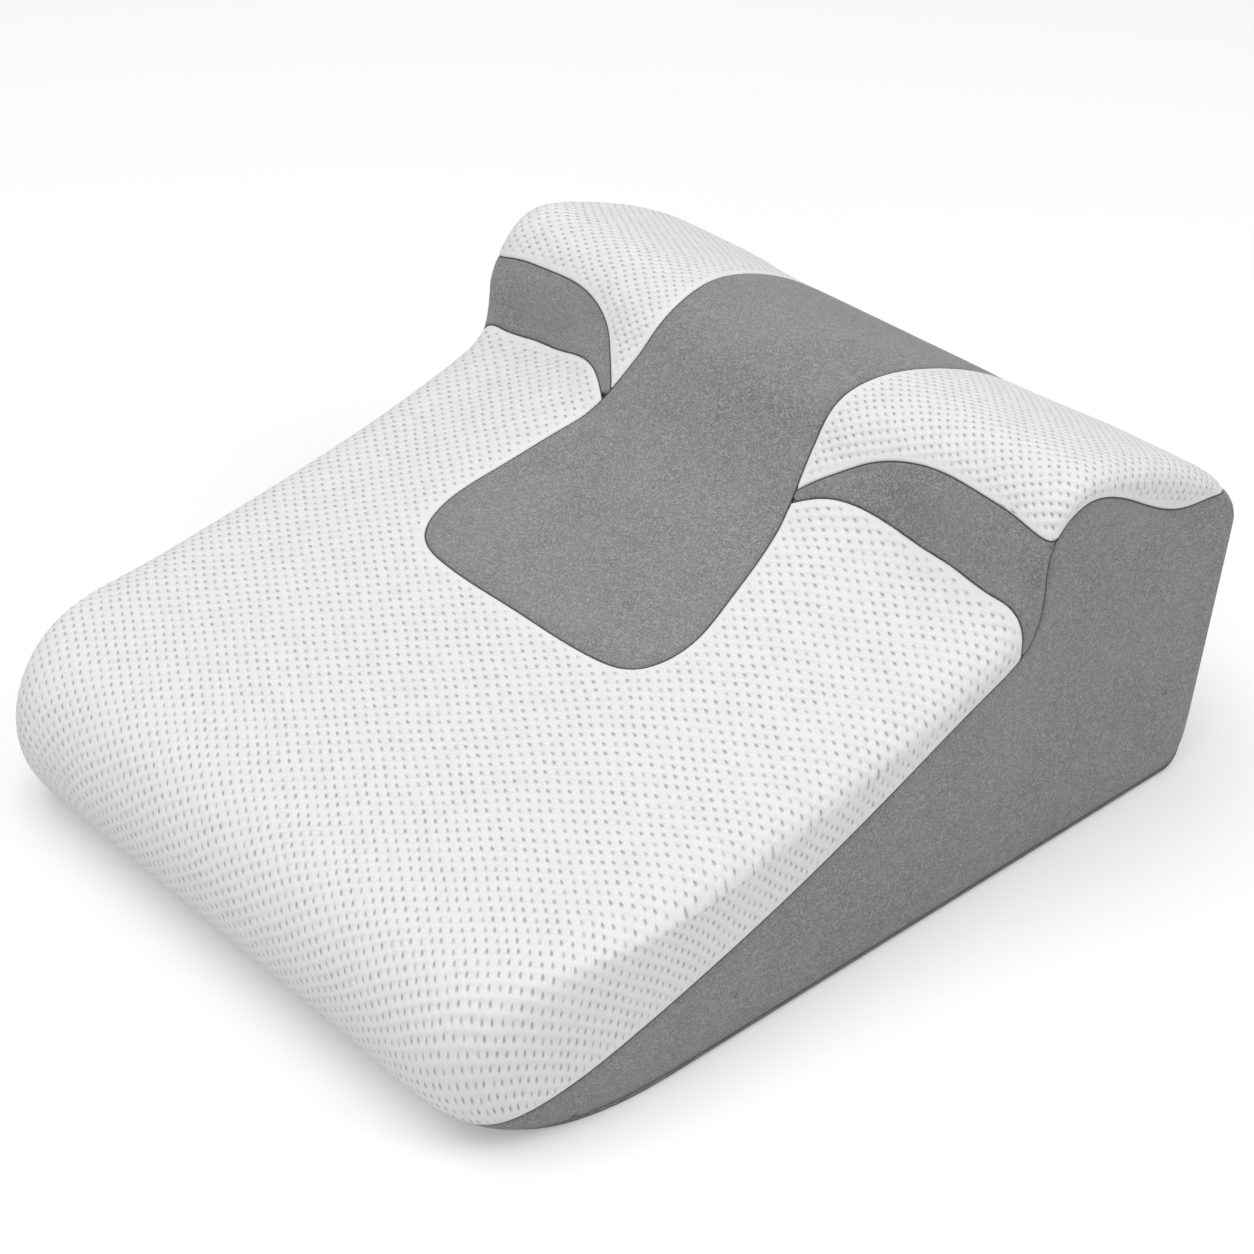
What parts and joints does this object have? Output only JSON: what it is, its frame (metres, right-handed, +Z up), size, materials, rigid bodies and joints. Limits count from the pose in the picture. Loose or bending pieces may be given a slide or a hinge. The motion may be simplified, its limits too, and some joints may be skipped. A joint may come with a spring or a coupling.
{
  "type": "cervical wedge pillow",
  "caption": "Foam wedge pillow with a raised neck bolster, a grey cradle strip down the middle, two shoulder lobes and a zip-off fabric cover.",
  "frame": {"origin": "on the floor under the centre of the pillow's outline", "axes": "+Z up from the flat sole, +Y from the low nose to the tall back, +X across the width to the lying person's left"},
  "size_m": [0.51, 0.6297, 0.2695],
  "materials": {
    "firm_foam": "matte",
    "soft_foam": "matte",
    "white_knit": "matte",
    "grey_suede": "matte",
    "base_cloth": "matte",
    "zip_tape": "matte",
    "zip_coil": "satin",
    "stop_metal": "satin",
    "slider_metal": "satin"
  },
  "bodies": {
    "pillow": {"base_foam": "firm_foam", "comfort_foam": "soft_foam", "ramp_panel": "white_knit", "cradle_panel": "grey_suede", "lobe_panel_left": "white_knit", "lobe_panel_right": "white_knit", "shoulder_panel_left": "grey_suede", "shoulder_panel_right": "grey_suede", "side_panel_left": "grey_suede", "side_panel_right": "grey_suede", "back_panel": "grey_suede", "base_panel": "base_cloth", "zip_tape_upper": "zip_tape", "zip_tape_lower": "zip_tape", "zip_coil_upper": "zip_coil", "zip_coil_lower": "zip_coil", "zip_top_stops": "stop_metal", "zip_bottom_stop": "stop_metal"},
    "slider": {"zip_slider": "slider_metal"},
    "tab": {"pull_tab": "slider_metal"}
  },
  "joints": [
    {"name": "zip_travel", "type": "slide", "parent": "pillow", "child": "slider", "axis": [-1, 0, 0], "range_m": [0, 0.376]},
    {"name": "tab_hinge", "type": "hinge", "parent": "slider", "child": "tab", "pos_m": [0.188, 0.30487, 0.0916], "axis": [0, 0.1444, 0.9895], "range_deg": [0, 180]}
  ]
}
